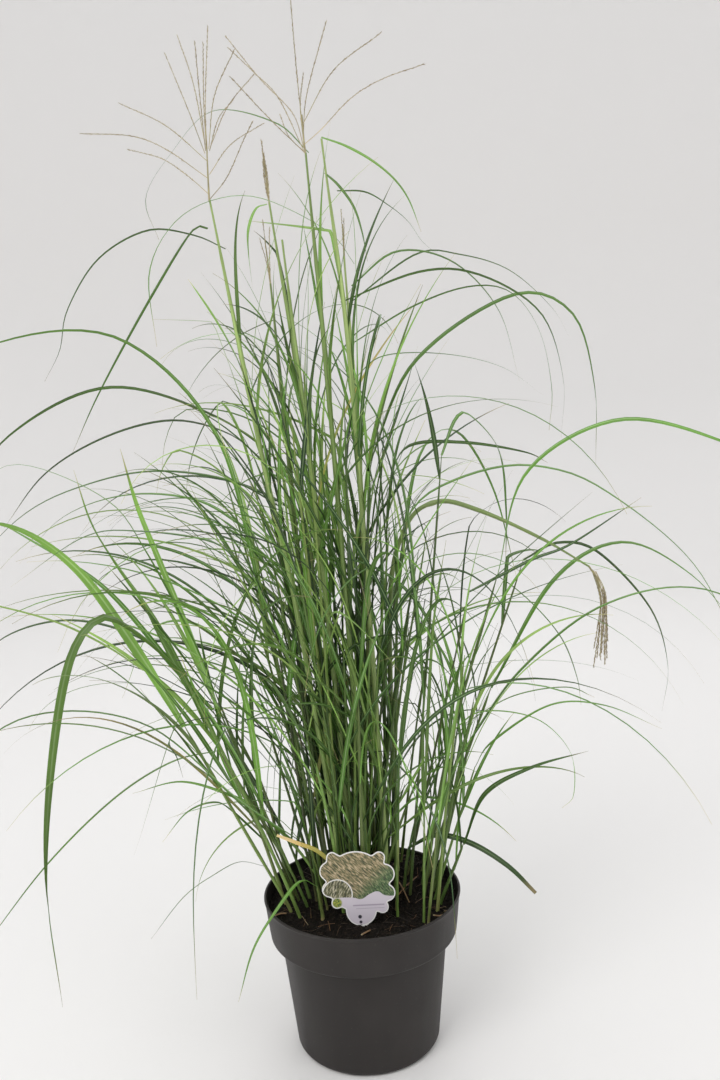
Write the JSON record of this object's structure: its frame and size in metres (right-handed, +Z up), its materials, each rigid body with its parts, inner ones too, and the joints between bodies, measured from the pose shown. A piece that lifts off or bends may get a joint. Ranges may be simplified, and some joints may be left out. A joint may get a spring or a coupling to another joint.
{
  "type": "potted miscanthus grass clump",
  "caption": "Clump of arching ornamental grass with tall feathery flower stems, growing in a round tapered plastic nursery pot of compost with a push-in picture label.",
  "frame": {"origin": "middle of the pot's flat underside", "axes": "+Z up along the pot's axis; -Y out of the face of the plant label; +X to the right of someone who reads the label"},
  "size_m": [1.136, 0.7761, 1.375],
  "materials": {
    "pot_plastic": "matte",
    "compost": "matte",
    "label_card": "satin",
    "shoot_green": "satin",
    "culm_green": "satin",
    "leaf_green": "satin",
    "plume_tan": "matte"
  },
  "bodies": {
    "root": {"culm_1": "culm_green", "culm_2": "culm_green", "culm_3": "culm_green", "culm_4": "culm_green", "culm_5": "culm_green", "culm_6": "culm_green", "culm_7": "culm_green", "culm_8": "culm_green", "leaf_back": "leaf_green", "leaf_back_left": "leaf_green", "leaf_back_right": "leaf_green", "leaf_culm_fold": "leaf_green", "leaf_culm_right": "leaf_green", "leaf_front": "leaf_green", "leaf_front_left": "leaf_green", "leaf_front_right": "leaf_green", "leaf_left_back": "leaf_green", "leaf_left_broad": "leaf_green", "leaf_left_edge": "leaf_green", "leaf_left_hanging": "leaf_green", "leaf_left_high": "leaf_green", "leaf_left_low": "leaf_green", "leaf_left_upper": "leaf_green", "leaf_pot_side": "leaf_green", "leaf_right_arch": "leaf_green", "leaf_right_back": "leaf_green", "leaf_right_drooping": "leaf_green", "leaf_right_long": "leaf_green", "leaf_right_pointed": "leaf_green", "leaf_right_spray": "leaf_green", "plant_label": "label_card", "plume_1": "plume_tan", "plume_2": "plume_tan", "plume_3": "plume_tan", "plume_4": "plume_tan", "plume_5": "plume_tan", "plume_6": "plume_tan", "pot": "pot_plastic", "shoot_back": "shoot_green", "shoot_back_left": "shoot_green", "shoot_back_right": "shoot_green", "shoot_front": "shoot_green", "shoot_front_left": "shoot_green", "shoot_front_right": "shoot_green", "shoot_left_back": "shoot_green", "shoot_left_broad": "shoot_green", "shoot_left_edge": "shoot_green", "shoot_left_hanging": "shoot_green", "shoot_left_high": "shoot_green", "shoot_left_low": "shoot_green", "shoot_left_upper": "shoot_green", "shoot_pot_side": "shoot_green", "shoot_right_arch": "shoot_green", "shoot_right_back": "shoot_green", "shoot_right_drooping": "shoot_green", "shoot_right_long": "shoot_green", "shoot_right_pointed": "shoot_green", "shoot_right_spray": "shoot_green", "soil": "compost"}
  },
  "joints": []
}
